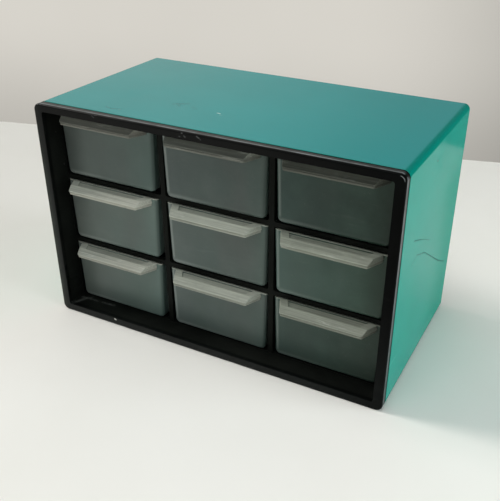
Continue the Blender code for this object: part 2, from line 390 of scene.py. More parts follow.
# Marks, in mm: start, end, half width, fade, strength (0 to 1).
# On the right wall the points are (y, z): two kinked scratches and two nicks.
WALL_MARKS = (
    ((-26.2, 71.6), (-15.0, 67.2), 0.06, 0.40, 0.85),
    ((-15.0, 67.2), (-1.0, 60.4), 0.05, 0.35, 0.60),
    ((-26.2, 60.0), (-19.0, 61.8), 0.05, 0.30, 0.45),
    ((-19.0, 61.8), (-6.0, 56.7), 0.07, 0.28, 1.0),
    ((-6.0, 56.7), (11.0, 45.8), 0.08, 0.30, 0.9),
    ((11.0, 45.8), (24.0, 37.5), 0.10, 0.34, 1.0),
    ((24.0, 37.5), (35.5, 31.8), 0.08, 0.30, 0.8),
    ((-4.5, 97.5), (-3.6, 97.2), 0.22, 0.35, 0.8),
    ((-43.0, 50.5), (-42.4, 50.0), 0.16, 0.30, 0.5),
)
# On top they are (x, y): a faint scratch and smudges, then two pale marks.
TOP_DARK_MARKS = (
    ((-54.0, -35.0), (-50.0, -36.2), 0.05, 0.55, 0.42),
    ((-50.0, -36.2), (-46.2, -35.2), 0.10, 0.55, 0.48),
    ((-30.0, -18.0), (-25.0, -15.0), 0.35, 1.50, 0.30),
    ((-29.0, -16.8), (-26.8, -19.0), 0.15, 1.00, 0.34),
    ((-20.5, -17.8), (-18.0, -19.6), 0.25, 1.30, 0.22),
)
TOP_PALE_MARKS = (
    ((-7.0, -19.7), (-5.6, -20.0), 0.14, 0.30, 1.0),
    ((-5.0, -21.6), (-4.0, -21.3), 0.05, 0.25, 0.4),
)
# Fine streaks along x, y and z: noise scale, warp, stretch, threshold.
STREAKS = (
    (140.0, 0.3, (0.10, 1.0, 1.0), (0.66, 0.76)),
    (160.0, 0.4, (1.0, 0.12, 1.0), (0.68, 0.78)),
    (150.0, 0.4, (1.0, 1.0, 0.12), (0.70, 0.80)),
)
SIDEWAYS = (0.35, 0.95)  # range of |normal x| from top to side wall


def on_wall(y, z):
    return HALF_W, y * MM, z * MM


def on_top(x, y):
    return x * MM, y * MM, HEIGHT


def teal_colour_and_painted_light(net, facing_x):
    """The moulded colour with painted light and shade on it, and masks for the walls' far end
    and the long edges.
    """
    x, y, z = net.axes
    # very slight mottling; the walls are painted greener than the top, for the different light
    # on them
    mottle = net.noise(scale=22.0, rough=0.55)
    flat = net.mix(mottle.rise(over=(0.35, 0.7)), linear(0, 138, 138), linear(5, 142, 142))
    wall = net.mix(mottle.rise(over=(0.35, 0.7)), linear(0, 143, 127), linear(3, 147, 131))
    # painted shade: both are a shade deeper at one end, the top to the right and the walls to
    # the back, where they mirror less light
    flat = net.mix(x.rise(over=(0.0, 0.072)), flat, linear(3, 131, 131))
    far = y.rise(over=(-0.005, 0.038)) * z.fall(over=(0.068, 0.098), to=(1.0, 0.20))
    wall = net.mix(far * 0.60, wall, linear(0, 138, 116))
    color = net.mix(abs(facing_x).rise(over=SIDEWAYS), flat, wall)
    # the rounded long edges are a little deeper in colour
    side_gap, level_gap = edge_gaps(x, z)
    turn = side_gap.fall(over=(0.0018, 0.0030)) * level_gap.fall(over=(0.0018, 0.0030))
    color = net.mix(turn * 0.80, color, linear(0, 112, 98))
    # so is the open edge next to the frame, a painted shade in the gap
    lip = (y - CASING_FRONT).fall(over=(0.0002, 0.0011))
    return net.mix(lip * 0.55, color, linear(0, 118, 104)), far, turn


def teal_wear(net):
    """Masks of fine streaks, dark marks, and pale marks with dust."""
    along_x, along_y_axis, along_z = (
        net.noise(scale, detail=2.0, rough=0.6, warp=warp, stretch=stretch).rise(over=threshold)
        for scale, warp, stretch, threshold in STREAKS
    )
    patch = net.noise(scale=14.0, detail=2.0).rise(over=(0.42, 0.62))
    streak = along_x.most(along_y_axis).most(along_z) * patch
    dust = net.specks(scale=260.0, size=(0.04, 0.08), channel=0, rarity=(0.982, 0.988)) * 0.45
    dark = net.marks(TOP_DARK_MARKS, on_top, under=net.marks(WALL_MARKS, on_wall))
    pale = net.marks(TOP_PALE_MARKS, on_top, under=dust)
    worn = net.noise(scale=900.0, detail=2.0, rough=0.6)
    return streak, dark * worn.rise(over=(0.30, 0.50), to=(0.55, 1.0)), pale


def teal_material():
    net = Net("teal_gloss_styrene")
    facing_x = net.xyz(net.node("ShaderNodeNewGeometry", "Normal"))[0]
    color, far, turn = teal_colour_and_painted_light(net, facing_x)
    streak, dark, pale = teal_wear(net)
    color = net.mix(dark * 0.80, color, linear(8, 66, 62))
    color = net.mix(pale * 0.75, color, linear(196, 220, 212))
    color = net.mix(streak * 0.10, color, linear(120, 190, 178))

    # smudges: broad patches where the gloss is dulled
    smudge = net.noise(scale=30.0, detail=4.0, rough=0.6, warp=0.6).rise(over=(0.48, 0.72))
    rough = smudge.ramp(over=(0.0, 1.0), to=(0.12, 0.23)) + streak * 0.08
    rough = rough.add_clamped(pale.most(dark) * 0.35)

    # slow warp of thin walls, a trace of orange peel, then the scratches
    wave = net.noise(scale=9.0, detail=1.0, rough=0.4)
    normal = net.bump(wave, strength=1.0, distance=0.00030)
    peel = net.noise(scale=420.0, detail=2.0)
    normal = net.bump(peel, strength=0.20, distance=0.00002, base=normal)
    normal = net.bump(streak * -0.4 - dark, strength=0.4, distance=0.00005, base=normal)

    # the walls shine less than the top, least at the far end and on the long edges
    shine = abs(facing_x).fall(over=SIDEWAYS, to=(0.46, 0.045))
    far = far * abs(facing_x).rise(over=(0.6, 0.95))
    shine = shine * (1.0 - far * 0.80) * (1.0 - turn * 0.75)
    return net.done(net.surface({
        "Base Color": color, "Roughness": rough, "Normal": normal,
        "IOR": 1.46, "Specular IOR Level": shine,
    }))


casing = dress(build_casing(), teal_material())
install(casing, "cabinet", "outer_casing")


# ============================================================ BLACK FRAME ====
def build_frame():
    """A skirt flush with the casing, a plug inside it, a recess and nine openings."""
    shape = rounded_block(
        (-HALF_W, FRONT, 0.0), (HALF_W, FRONT + SKIRT, HEIGHT), CORNER, segments=10
    )
    bevel(shape, lambda start, end: max(start.y, end.y) < FRONT + 1e-5, 0.8 * MM, segments=4)
    obj = to_object(shape, "frame_moulding")
    inset = CASING_WALL + PLUG_GAP
    plug = rounded_block(
        (-HALF_W + inset, FRONT + SKIRT - OVERLAP, inset),
        (HALF_W - inset, GRID_BACK, HEIGHT - inset), 0.7 * MM, segments=3,
    )
    cut(obj, plug, "UNION")
    recess = rounded_block(
        (-HALF_W + RIM_SIDE, FRONT - OVERLAP, RIM_LOW),
        (HALF_W - RIM_SIDE, GRID_FRONT, HEIGHT - RIM_TOP), 1.0 * MM, segments=5,
    )
    cut(obj, recess)
    for row in range(3):
        floor = RIM_LOW + row * ROW_PITCH
        for left, right in COLUMNS:
            opening = rounded_block(
                (left, GRID_FRONT - OVERLAP, floor),
                (right, GRID_BACK + OVERLAP, floor + OPEN_H), 1.0 * MM, segments=4,
            )
            cut(obj, opening)
    soften(obj, width=0.38 * MM, segments=3, angle=40)
    return bake(obj)


# Chips on the rim, in mm: start and end as (x, depth behind the front, drop from
# the top), half width, fade, strength.
RIM_CHIPS = (
    ((-55.0, 0.4, 0.5), (-53.2, 0.6, 0.3), 0.08, 0.22, 1.0),
    ((-52.8, 0.2, 0.6), (-51.6, 0.1, 1.3), 0.08, 0.22, 1.0),
    ((-51.2, 0.3, 0.5), (-50.0, 0.4, 0.4), 0.10, 0.22, 0.8),
    ((-7.8, 0.0, 0.6), (-7.6, 0.0, 0.6), 0.14, 0.25, 0.9),
    ((-6.8, 0.0, 1.6), (-6.2, 0.0, 2.0), 0.10, 0.25, 0.7),
    ((-9.0, 0.0, 2.2), (-8.6, 0.0, 2.2), 0.08, 0.25, 0.6),
    ((-0.8, 0.0, 0.8), (0.4, 0.0, 1.4), 0.12, 0.25, 0.8),
    ((0.8, 0.0, 1.8), (1.0, 0.0, 1.9), 0.10, 0.20, 0.6),
)
# The same for the recess's left side, with z instead of the drop.
RECESS_CHIPS = (
    ((-80.8, 9.5, 76.0), (-80.8, 9.8, 75.7), 0.22, 0.30, 0.9),
    ((-80.8, 7.0, 92.5), (-80.8, 7.2, 92.2), 0.12, 0.25, 0.5),
)


def below_top(x, depth, drop):
    return x * MM, FRONT + depth * MM, HEIGHT - drop * MM


def behind_front(x, depth, z):
    return x * MM, FRONT + depth * MM, z * MM


def rim_wear_and_painted_light(net, color, depth, outer):
    """A painted highlight line along the skirt, broken by rubbing; dust and a painted reflection
    on the rim's front; and chips.
    """
    x, y, z = net.axes
    # painted highlight: a grey line along the skirt's outer face, broken up by rubbing
    line = depth.rise(over=(0.0009, 0.0013)) * depth.fall(over=(0.0015, 0.0022), to=(1.0, 0.14))
    edge = outer.fall(over=(0.0001, 0.0006)) * line * depth.fall(over=(0.0033, 0.0037))
    wear_and_highlight_noise = net.noise(scale=90.0, detail=4.0, rough=0.65)
    edge = edge * wear_and_highlight_noise.rise(over=(0.30, 0.62), to=(0.35, 1.0))
    color = net.mix(edge * 0.85, color, linear(132, 137, 139))
    # a film of dust and a painted reflection of the pale table grey the front of the rim, more
    # below and to the left
    front = depth.fall(over=(0.0002, 0.0009))
    low = z.fall(over=(0.003, 0.060)) * x.fall(over=(0.060, 0.084), to=(1.0, 0.50))
    fade_to_top = z.fall(over=(0.060, 0.104), to=(1.0, 0.22))
    left = x.fall(over=(-0.086, -0.079)) * 2.3
    film = net.noise(scale=150.0, detail=4.0, rough=0.7)
    greyed = front * (low * 0.75).most(left * fade_to_top)
    greyed = greyed * film.rise(over=(0.25, 0.75), to=(0.55, 1.0))
    dust_and_reflection = net.mix(left.rise(over=(0.0, 2.3)), linear(50, 54, 52), linear(62, 66, 62))
    color = net.mix(greyed * 0.50, color, dust_and_reflection)
    chip = net.marks(RECESS_CHIPS, behind_front, under=net.marks(RIM_CHIPS, below_top))
    return net.mix(chip * 0.55, color, linear(112, 113, 112)), edge.most(greyed)


def rim_lights(net, color, depth, outer):
    """Dust in the recess, a glint at the top right corner, a painted highlight on the recess
    floor and a fleck.
    """
    x, y, z = net.axes
    sunk = depth.rise(over=(0.0010, 0.0030)) * outer.rise(over=(0.0024, 0.0034))
    dust = net.noise(scale=60.0, detail=4.0, rough=0.65)
    dust = dust.rise(over=(0.25, 0.75), to=(0.35, 0.80))
    color = net.mix(sunk * dust, color, linear(28, 30, 27))
    # light runs round the front arris of the top right corner
    past_x = x - (HALF_W - CORNER)
    past_z = z - (HEIGHT - CORNER)
    reach = (past_x * past_x + past_z * past_z).root()
    glance = reach.rise(over=(0.00194, 0.00208)) * reach.fall(over=(0.00214, 0.00232))
    glance = glance * (past_x.rise(over=(0.0, 0.0008)) * past_z.rise(over=(-0.0002, 0.0010)))
    glance = glance * depth.fall(over=(0.0004, 0.0008))
    color = net.mix(glance * 0.75, color, linear(150, 156, 156))
    # a painted highlight lies on the recess floor at the left
    floor = RIM_LOW / MM
    floor_highlight = net.stroke(
        behind_front(-80.0, 1.5, floor), behind_front(-75.0, 10.0, floor), width=0.3, fade=1.2
    ).most(net.stroke(
        behind_front(-79.0, 8.0, floor), behind_front(-60.0, 9.0, floor), width=0.2, fade=0.9
    ))
    floor_highlight = floor_highlight * net.noise(scale=420.0, rough=0.7).rise(over=(0.35, 0.65))
    color = net.mix(floor_highlight * 0.60, color, linear(92, 94, 90))
    fleck = net.stroke(
        behind_front(-52.7, 0.0, 3.2), behind_front(-52.1, 0.0, 3.0), width=0.26, fade=0.30
    )
    return net.mix(fleck, color, linear(188, 188, 182))


def rim_shine(net, depth, outer):
    """Dull inside the recess and towards the right, bright on the skirt."""
    shine = net.axes[0].ramp(over=(0.02, 0.084), to=(0.14, 0.04))
    inside = depth.rise(over=(0.0008, 0.0020))
    within = outer.rise(over=(0.0024, 0.0034))
    shine = shine * (inside * within).ramp(over=(0.0, 1.0), to=(1.0, 0.30))
    skirt = inside * (1.0 - within) * depth.fall(over=(0.0033, 0.0037), to=(1.0, -0.6))
    return shine.add_clamped(skirt * 0.14)


def black_material(name, worn_rim):
    net = Net(name)
    cloud = net.noise(scale=35.0, detail=4.0, rough=0.6)
    color = net.mix(cloud.rise(over=(0.3, 0.75)), linear(3, 4, 4), linear(8, 9, 9))
    upright = net.noise(scale=210.0, rough=0.6, warp=0.5, stretch=(1.0, 1.0, 0.15))
    level = net.noise(scale=190.0, rough=0.6, warp=0.5, stretch=(0.12, 1.0, 1.0))
    scuff = upright.rise(over=(0.66, 0.76)).most(level.rise(over=(0.66, 0.76)))
    rough = cloud.ramp(over=(0.25, 0.8), to=(0.26, 0.36))
    shine = 0.30
    if worn_rim:
        x, y, z = net.axes
        depth = y - FRONT
        side_gap, level_gap = edge_gaps(x, z)
        outer = side_gap.least(level_gap)
        color, worn = rim_wear_and_painted_light(net, color, depth, outer)
        color = rim_lights(net, color, depth, outer)
        # worn covers the rubbed and dusty parts and the painted highlight and reflection; all
        # are made rougher
        rough = rough + worn * 0.12
        shine = rim_shine(net, depth, outer)
    speck = net.specks(scale=420.0, size=(0.05, 0.11), channel=1, rarity=(0.972, 0.982))
    color = net.mix(speck * 0.22, color, linear(120, 120, 116))
    color = net.mix(scuff * 0.06, color, linear(60, 60, 58))
    grain = net.noise(scale=1300.0, detail=2.0, rough=0.55)
    normal = net.bump(net.noise(scale=16.0, detail=1.0), strength=1.0, distance=0.0002)
    normal = net.bump(grain, strength=0.35, distance=0.00004, base=normal)
    normal = net.bump(scuff, strength=0.3, distance=0.00004, base=normal)
    return net.done(net.surface({
        "Base Color": color, "Roughness": rough.add_clamped(scuff * 0.10),
        "Normal": normal, "IOR": 1.46, "Specular IOR Level": shine,
    }))


bezel = dress(build_frame(), black_material("black_satin_styrene", worn_rim=True))
install(bezel, "cabinet", "front_frame")

# ============================================================== THE RACK ====
# The CAD pieces stay, with their edges softened.
rack_black = black_material("black_rack_styrene", worn_rim=False)
for name in ("floor_tray", "lower_shelf", "upper_shelf", "left_partition", "right_partition"):
    piece = dress(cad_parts[name], rack_black)
    piece.data.shade_flat()
    modify(piece, "weld", "WELD", merge_threshold=0.00001)
    modify(
        piece, "soften", "BEVEL", width=0.2 * MM, segments=2, limit_method="ANGLE",
        angle_limit=math.radians(35), use_clamp_overlap=True, harden_normals=False,
    )

# ============================================================ THE DRAWERS ====
# A drawer is built with its front wall at y = 0 and its floor at z = 0; the lip
# stands forward of it, its top flush with the walls.
TUB_HALF, TUB_H, TUB_LONG, TUB_WALL = 25.3 * MM, 30.4 * MM, 76.0 * MM, 1.2 * MM
TUB_TAPER, TUB_BACK_TAPER = 0.9 * MM, 0.8 * MM  # how much the floor is drawn in
TUB_CORNER, TUB_EDGE = 2.6 * MM, 1.4 * MM
LIP_REACH, LIP_HALF_FRONT, LIP_HALF_BASE = 8.2 * MM, 18.7 * MM, 22.6 * MM
LIP_CORNER, LIP_CORNER_LEAST = 1.1 * MM, 0.35 * MM
LIP_CORNER_STEPS = 6

# Outlines of the lip by height, in mm: z, inset of the front, inset of the ends.
# An upright band with a groove below the brow, a sloping band with a faint step
# in it, and a flat bead round the trough.
LIP_LEVELS = (
    (26.90, 0.58, 0.58), (26.98, 0.44, 0.44), (27.10, 0.38, 0.38),
    (27.86, 0.20, 0.20), (27.94, 0.34, 0.24), (28.10, 0.42, 0.26), (28.26, 0.32, 0.18),
    (28.34, 0.12, 0.08), (28.46, 0.01, 0.03), (28.58, 0.05, 0.00), (28.68, 0.17, 0.02),
    (29.20, 1.08, 0.12), (29.22, 1.22, 0.13), (29.30, 1.36, 0.15),
    (30.10, 2.76, 0.30), (30.28, 3.04, 0.40), (30.37, 3.18, 0.56), (30.40, 3.34, 0.80),
)
TROUGH_LEVELS = ((29.85, 3.90, 3.9), (30.10, 3.78, 3.75), (33.40, 3.78, 3.75))
HOLLOW_LEVELS = ((23.9, 1.6, 1.6), (26.9, 1.6, 1.6), (27.8, 1.25, 1.25), (28.7, 2.75, 1.6))


def lip_outline(inset, ends, tail):
    """The lip in plan, its two front corners rounded; front and ends inset.

    A tail above 0 carries the outline that far behind the drawer's front."""
    slope = (LIP_HALF_BASE - LIP_HALF_FRONT) / LIP_REACH
    shift = ends * math.sqrt(1 + slope * slope)
    base = LIP_HALF_BASE - shift
    corner = Vector((LIP_HALF_FRONT + slope * inset - shift, -LIP_REACH + inset))
    radius = max(LIP_CORNER - 0.6 * max(inset, ends), LIP_CORNER_LEAST)
    side = (Vector((base, 0.0)) - corner).normalized()
    angle = math.acos(max(-1.0, min(1.0, side.dot(Vector((-1.0, 0.0))))))
    cutback = radius / math.tan(angle / 2)
    centre = corner + Vector((-cutback, 0.0)) + Vector((0.0, radius))
    sweep = math.pi - angle
    right = []
    for i in range(LIP_CORNER_STEPS + 1):
        at = sweep * i / LIP_CORNER_STEPS
        right.append(centre + Vector((math.sin(at), -math.cos(at))) * radius)
    right.append(Vector((base, 0.0)))
    if tail > 0:
        right.append(Vector((base, tail)))
    left = [Vector((-v.x, v.y)) for v in reversed(right)]
    return right + left


def stack(levels, tail=0.0):
    """A solid through lip outlines, one above the other."""
    shape = bmesh.new()
    rings = [
        [shape.verts.new((v.x, v.y, z * MM)) for v in lip_outline(inset * MM, ends * MM, tail)]
        for z, inset, ends in levels
    ]
    shape.faces.new(rings[0])
    shape.faces.new(rings[-1])
    for low, high in zip(rings, rings[1:]):
        for i in range(len(low)):
            j = (i + 1) % len(low)
            shape.faces.new((low[i], low[j], high[j], high[i]))
    return shape


def tub(inset, z_high, corner, edge, steps):
    """A box narrowing downwards: its two lower long edges rounded, then the
    outlines of its front and back faces, the top edges left sharp."""
    half = TUB_HALF - inset
    shape = block((-half, inset, inset), (half, TUB_LONG - inset, z_high))
    for v in shape.verts:
        if v.co.z < inset + 1e-6:
            v.co.x -= math.copysign(TUB_TAPER, v.co.x)
            if v.co.y > 0.02:  # the back end
                v.co.y -= TUB_BACK_TAPER

    def low_and_long(start, end):
        return abs(start.x - end.x) < 1e-6 and max(start.z, end.z) < inset + 1e-6

    bevel(shape, low_and_long, corner, steps)
    shape.normal_update()
    for sign in (-1, 1):
        face = max(shape.faces, key=lambda f: f.normal.y * sign)
        edges = [e for e in face.edges if min(v.co.z for v in e.verts) < z_high - 1e-6]
        bevel_edges(shape, edges, edge, steps - 2)
        shape.normal_update()
    return shape


def wall_tab(side):
    """A wedge on a side wall near the back, its upper rear edge drawn forward."""
    ends = sorted((side * (TUB_HALF - 0.1 * MM), side * (TUB_HALF - TUB_WALL - 0.6 * MM)))
    shape = block(
        (ends[0], 62.0 * MM, TUB_H - 3 * MM), (ends[1], 66.0 * MM, TUB_H + 1.1 * MM)
    )
    for v in shape.verts:
        if v.co.z > TUB_H and v.co.y > 64.0 * MM:
            v.co.y -= 2.4 * MM
    return shape


def build_drawer():
    outside = tub(inset=0.0, z_high=TUB_H, corner=TUB_CORNER, edge=TUB_EDGE, steps=8)
    obj = to_object(outside, "drawer_pattern")
    cut(obj, stack(LIP_LEVELS, tail=TUB_CORNER), "UNION")
    for side in (-1, 1):
        cut(obj, wall_tab(side), "UNION")
    cut(obj, tub(
        inset=TUB_WALL, z_high=TUB_H + 6 * MM, corner=TUB_CORNER - TUB_WALL,
        edge=TUB_EDGE / 3, steps=6,
    ))
    cut(obj, stack(TROUGH_LEVELS))
    cut(obj, stack(HOLLOW_LEVELS))  # the underside of the lip
    bake(obj)
    settle(obj)
    soften(obj, width=0.15 * MM, segments=2, angle=42)
    return bake(obj)


pattern = build_drawer()

# Painted light and shade: one frosted styrene is given lit and shaded tones,
# palest in the left column, greener and darker to the right. Left and right side of
# the front (painted shading across it), the lip (painted brighter than the front, as
# lit), film of dust, mauve drift; then the strength of the ridge of light, and the gloss.
COLUMN_LOOK = {
    "left": dict(
        left=(106, 116, 112), right=(102, 126, 120), lip=(205, 205, 192),
        film=(150, 156, 150), mauve=(106, 104, 104), ridge=0.32, shine=0.33,
    ),
    "middle": dict(
        left=(94, 108, 106), right=(82, 102, 96), lip=(191, 194, 181),
        film=(150, 156, 150), mauve=(106, 104, 104), ridge=0.32, shine=0.33,
    ),
    "right": dict(
        left=(73, 95, 90), right=(36, 63, 50), lip=(169, 173, 159),
        film=(118, 150, 136), mauve=(80, 96, 89), ridge=0.22, shine=0.24,
    ),
}
# Painted light by row: brightness of the front, of the lip, and a further factor on the right
# column's fronts.
ROW_LIGHT_GAIN = {
    "top": (0.72, 0.44, 0.84), "middle": (0.885, 0.87, 1.24), "bottom": (0.95, 0.75, 0.81),
}


def frosted_body(net, row, column, mid_x, front, up):
    """The tub's colour with its painted light and shade, its cloudiness, and a mask of the walls
    behind the front.
    """
    x, y, z = net.axes
    look = COLUMN_LOOK[column]
    gain = ROW_LIGHT_GAIN[row][0]
    if column == "right":
        gain *= ROW_LIGHT_GAIN[row][2]
    # painted shading across the front: darker and greener to the right
    across = x.ramp(over=(mid_x - 0.020, mid_x + 0.023))
    body = net.mix(across, tone(look["left"], gain), tone(look["right"], gain))
    # uneven wall thickness, and a film of dust on the moulding
    cloud = net.noise(scale=55.0, detail=4.0, rough=0.6)
    body = net.mix(cloud.rise(over=(0.3, 0.8), to=(0.0, 0.16)), body, linear(*look["film"]))
    # the plastic drifts between a mauve grey and a sea green
    drift = net.noise(scale=34.0, detail=2.0, warp=0.3, stretch=(1.0, 1.0, 0.45))
    green, mauve = tone((84, 104, 96), gain), tone(look["mauve"], gain)
    body = net.mix(drift.fall(over=(0.28, 0.48), to=(0.38, 0.0)), body, green)
    body = net.mix(drift.rise(over=(0.52, 0.72), to=(0.0, 0.38)), body, mauve)
    speckle = net.noise(scale=700.0, rough=0.65).rise(over=(0.60, 0.75))
    body = net.mix(speckle * 0.07, body, linear(170, 176, 168))

    on_front = y.fall(over=(front + 0.0008, front + 0.0026))

    def tint_front(base, mask, amount, rgb):
        return net.mix(mask * on_front * amount, base, linear(*rgb))

    # a ridge of light where the rounded edges meet the flat front
    taper = (1.0 - up / TUB_H) * TUB_TAPER
    from_left = x - (mid_x - TUB_HALF) - taper
    from_right = (mid_x + TUB_HALF) - x - taper
    ridge = from_left.rise(over=(0.0006, 0.0012)) * from_left.fall(over=(0.0015, 0.0024))
    ridge = ridge * up.rise(over=(0.0016, 0.0040))
    foot = up.rise(over=(0.0006, 0.0013)) * up.fall(over=(0.0016, 0.0030))
    foot = foot * from_left.fall(over=(0.0060, 0.0320), to=(1.0, 0.15))
    glint = (ridge * (0.0 if column == "left" else 1.0)).most(foot * 0.70)
    body = tint_front(body, glint, look["ridge"], (206, 212, 206))
    # painted shade: the last millimetres at the right darken beside the far wall
    shade = from_right.fall(over=(0.0003, 0.0026))
    body = tint_front(body, shade, 0.55, (24, 36, 30))
    # painted shade over the right column's fronts, uneven, deepest at the right
    if column == "right":
        uneven = net.noise(scale=70.0, rough=0.6).rise(over=(0.25, 0.75), to=(0.45, 1.0))
        shade = from_right.fall(over=(0.0, 0.0140)) * uneven
        body = tint_front(body, shade, 0.55, (18, 34, 25))
    # painted shade at the left of the left column's fronts
    if column == "left":
        shade = from_left.fall(over=(0.0020, 0.0130))
        body = tint_front(body, shade, 0.30, (64, 66, 64))
    # painted shade low on the bottom row's fronts
    if row == "bottom":
        body = tint_front(body, up.fall(over=(0.0020, 0.0150)), 0.30, (52, 60, 56))
    # the free walls, once drawn out, are milky
    drawn = y.rise(over=(front + 0.0022, front + 0.0070))
    return net.mix(drawn, body, linear(198, 206, 198)), cloud, drawn


def frosted_lip(net, row, column, front, up):
    """The lip's colour with its painted light and shade, the mask of where it lies, and its
    lengthwise lines.
    """
    y = net.axes[1]

    def shade(gain):
        return tone(COLUMN_LOOK[column]["lip"], gain * ROW_LIGHT_GAIN[row][1])

    zone = y.fall(over=(front - 0.0006, front + 0.0001))
    top = up.rise(over=(TUB_H - 0.0004, TUB_H - 0.0001))
    zone = zone.most(top * y.fall(over=(front + 0.0008, front + 0.0016)))
    cloud = net.noise(scale=90.0, detail=4.0, rough=0.65, warp=0.6, stretch=(0.30, 1, 1))
    pale = net.mix(cloud.rise(over=(0.35, 0.75)), shade(0.94), shade(1.10))
    # fine lengthwise lines, haze and scratches
    lines = net.noise(scale=1500.0, detail=2.0, rough=0.55, warp=0.35, stretch=(0.018, 1.0, 1.6))
    pale = net.mix(lines.rise(over=(0.52, 0.62), to=(0.0, 0.38)), pale, shade(1.45))
    pale = net.mix(lines.fall(over=(0.36, 0.46), to=(0.36, 0.0)), pale, shade(0.50))
    haze = net.noise(scale=320.0, rough=0.65, warp=0.5, stretch=(0.55, 1.0, 1.0))
    pale = net.mix(haze.fall(over=(0.28, 0.46), to=(0.30, 0.0)), pale, shade(0.62))
    pale = net.mix(haze.rise(over=(0.56, 0.72), to=(0.0, 0.30)), pale, shade(1.35))
    scratch = net.noise(scale=900.0, rough=0.6, warp=1.2, stretch=(0.05, 1.0, 1.0))
    worn = net.noise(scale=130.0, detail=2.0).rise(over=(0.42, 0.58))
    scratch = scratch.rise(over=(0.60, 0.68)) * worn
    pale = net.mix(scratch * 0.40, pale, linear(236, 238, 228))
    # painted shade on the upright band, a painted highlight on its lower edge, and the painted
    # shade of the trough
    band = up.rise(over=(0.02715, 0.02740)) * up.fall(over=(0.02825, 0.02850))
    pale = net.mix(band * 0.22, pale, shade(0.45))
    keel = up.fall(over=(0.02700, 0.02730))
    pale = net.mix(keel * 0.35, pale, shade(1.30))
    lip_front = front - LIP_REACH
    behind_bead = y.rise(over=(lip_front + 0.0036, lip_front + 0.0040))
    inside = up.fall(over=(0.02988, 0.03012)) * behind_bead
    pale = net.mix(inside * 0.10, pale, shade(0.40))
    # painted highlights on the arrises, broken up: the brow and the bead round the trough
    brow = up.rise(over=(0.02828, 0.02840)) * up.fall(over=(0.02866, 0.02884))
    lip_highlight_breakup = net.noise(scale=300.0, detail=2.0, rough=0.6, stretch=(0.2, 1, 1))
    ring = up.rise(over=(0.03018, 0.03032)) * lip_highlight_breakup.rise(over=(0.35, 0.60), to=(0.3, 1.0))
    pale = net.mix(brow.most(ring) * 0.28, pale, shade(1.55))
    # painted light: the top row's troughs are brightened and their lower parts darkened
    if row == "top":  # the top row's troughs glow a little in the frame's shade
        glow = up.rise(over=(0.0284, 0.0297), to=(0.74, 1.45))
        pale = net.mix(1.0, pale, glow, "MULTIPLY")
    return pale, zone, lines


def frosted_material(name, row, column, mid_x, front, floor):
    net = Net("frosted_" + name)
    up = net.axes[2] - floor
    body, cloud, drawn = frosted_body(net, row, column, mid_x, front, up)
    pale, zone, lines = frosted_lip(net, row, column, front, up)
    color = net.mix(zone, body, pale)

    scuff = net.noise(scale=240.0, rough=0.6, warp=0.4, stretch=(0.12, 1.0, 1.0))
    patch = net.noise(scale=40.0, detail=2.0).rise(over=(0.5, 0.65))
    scuff = scuff.rise(over=(0.64, 0.76)) * patch
    color = net.mix(scuff * 0.05, color, linear(196, 198, 190))
    rough = cloud.ramp(over=(0.2, 0.8), to=(0.26, 0.38)).add_clamped(scuff * 0.10)
    grain = net.noise(scale=1500.0, detail=2.0)
    normal = net.bump(net.noise(scale=45.0, detail=2.0), strength=1.0, distance=0.00008)
    normal = net.bump(grain, strength=0.30, distance=0.00003, base=normal)
    normal = net.bump(lines * zone, strength=0.6, distance=0.00010, base=normal)
    skin = net.surface({
        "Base Color": color, "Roughness": rough, "Normal": normal,
        "IOR": 1.47, "Specular IOR Level": COLUMN_LOOK[column]["shine"],
    })
    # light comes through, more so in the walls behind the front
    inner = net.mix(0.5, color, linear(205, 214, 206))
    glow = net.node("ShaderNodeBsdfTranslucent", 0, {"Color": inner, "Normal": normal})
    through = drawn * 0.44 + 0.16
    return net.done(net.node("ShaderNodeMixShader", 0, {0: through, 1: skin, 2: glow}))


def place_drawer(row, column):
    place = "centre" if (row, column) == ("middle", "middle") else row + "_" + column
    name = "drawer_" + place
    lo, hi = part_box(name)
    mid_x = (lo.x + hi.x) / 2
    front = lo.y + LIP_REACH
    mesh = pattern.data.copy()
    mesh.name = name + "_mesh"
    tray = bpy.data.objects.new(name + "_moulding", mesh)
    scene.collection.objects.link(tray)
    mesh.transform(Matrix.Translation((mid_x, front, lo.z)))
    dress(tray, frosted_material(name, row, column, mid_x, front, lo.z))
    install(tray, name, name)


for row in ("top", "middle", "bottom"):
    for column in ("left", "middle", "right"):
        place_drawer(row, column)
bpy.data.objects.remove(pattern, do_unlink=True)

# ================================================================== STAGE ====
TURN = math.radians(15.3)  # the table's back edge runs at this angle to the object
TABLE_NEAR, TABLE_EDGE = -2.2, 0.235  # from the origin to the table's two edges
TABLE_HALF, TABLE_THICK = 2.5, 0.03
TABLE_RADIUS, TABLE_STEPS = 0.004, 6
WALL_AT, WALL_HALF, WALL_LOW, WALL_HIGH = 0.63, 3.0, -1.2, 1.3
WALL_GLOW = 1.0


def table_material():
    net = Net("stage_table_paint")
    cloud = net.noise(scale=5.0, detail=4.0, rough=0.6)
    color = net.mix(cloud.rise(over=(0.3, 0.7)), linear(233, 230, 224), linear(238, 235, 230))
    normal = net.bump(net.noise(scale=70.0, rough=0.6), strength=0.4, distance=0.0003)
    return net.done(net.surface({
        "Base Color": color, "Roughness": 0.62, "Normal": normal, "Specular IOR Level": 0.2,
    }))


